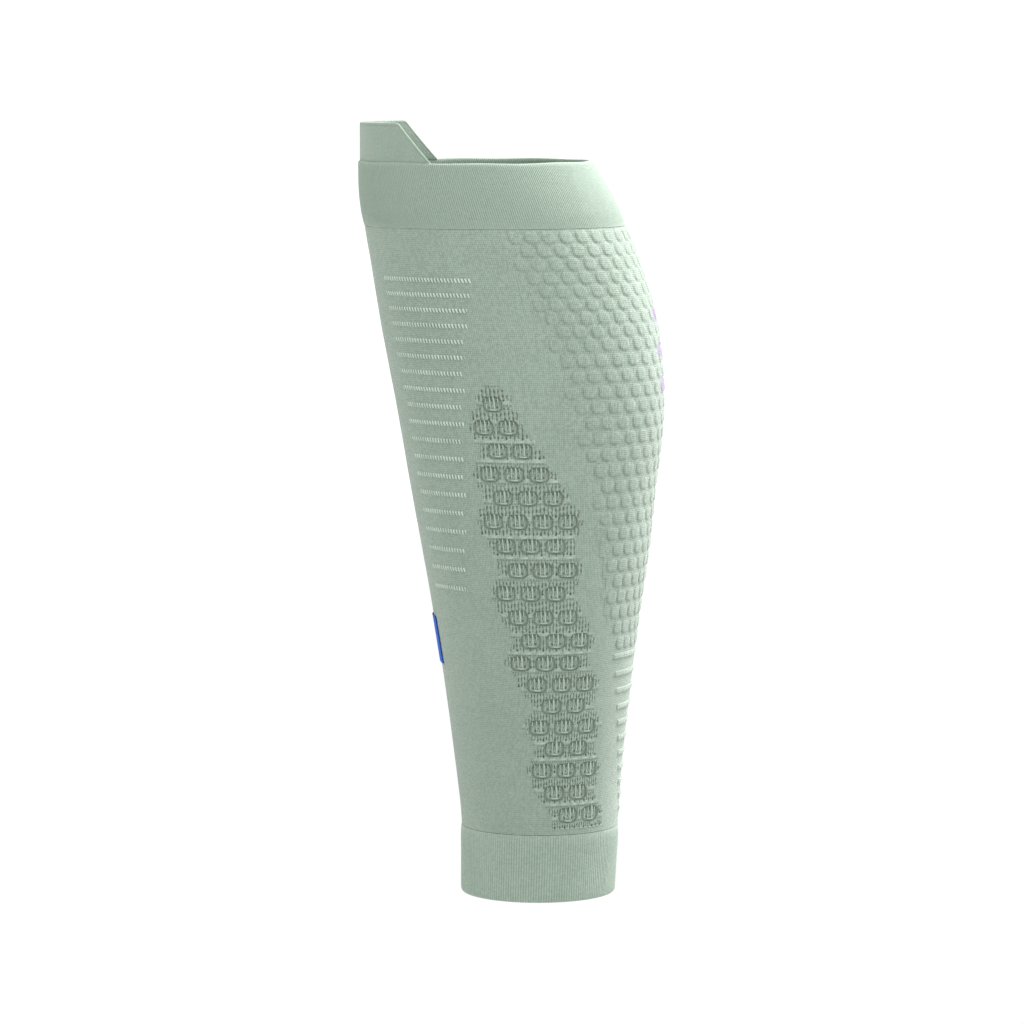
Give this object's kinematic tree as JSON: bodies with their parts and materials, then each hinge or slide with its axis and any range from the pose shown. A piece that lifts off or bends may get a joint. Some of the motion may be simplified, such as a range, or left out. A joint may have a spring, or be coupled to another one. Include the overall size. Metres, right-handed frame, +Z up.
{
  "type": "calf compression sleeve",
  "caption": "Knitted calf compression sleeve in its worn form, with ribbed cuffs, a front pull tab, shin and tendon ridges, open net vents on both sides and a padded bubble zone over the calf.",
  "frame": {"origin": "centre of the ankle opening, in the plane of the ankle hem", "axes": "+Z up the leg from ankle to knee, -Y towards the shin, +Y towards the calf, +X towards the outer side"},
  "size_m": [0.1041, 0.1374, 0.3496],
  "materials": {
    "rib": "sage green ribbed knit",
    "knit": "sage green fine jersey knit with raised tuck ridges",
    "bubble_knit": "sage green padded bubble knit",
    "net": "sage green open net knit",
    "tab_knit": "sage green doubled jersey knit",
    "label": "plain blue heat-set label"
  },
  "bodies": {
    "root": {"ankle_cuff": "rib", "sleeve_body": "knit", "calf_bubble_panel": "bubble_knit", "vent_outer": "net", "vent_inner": "net", "knee_cuff": "rib", "knee_tab": "tab_knit", "shin_label": "label"}
  },
  "joints": []
}
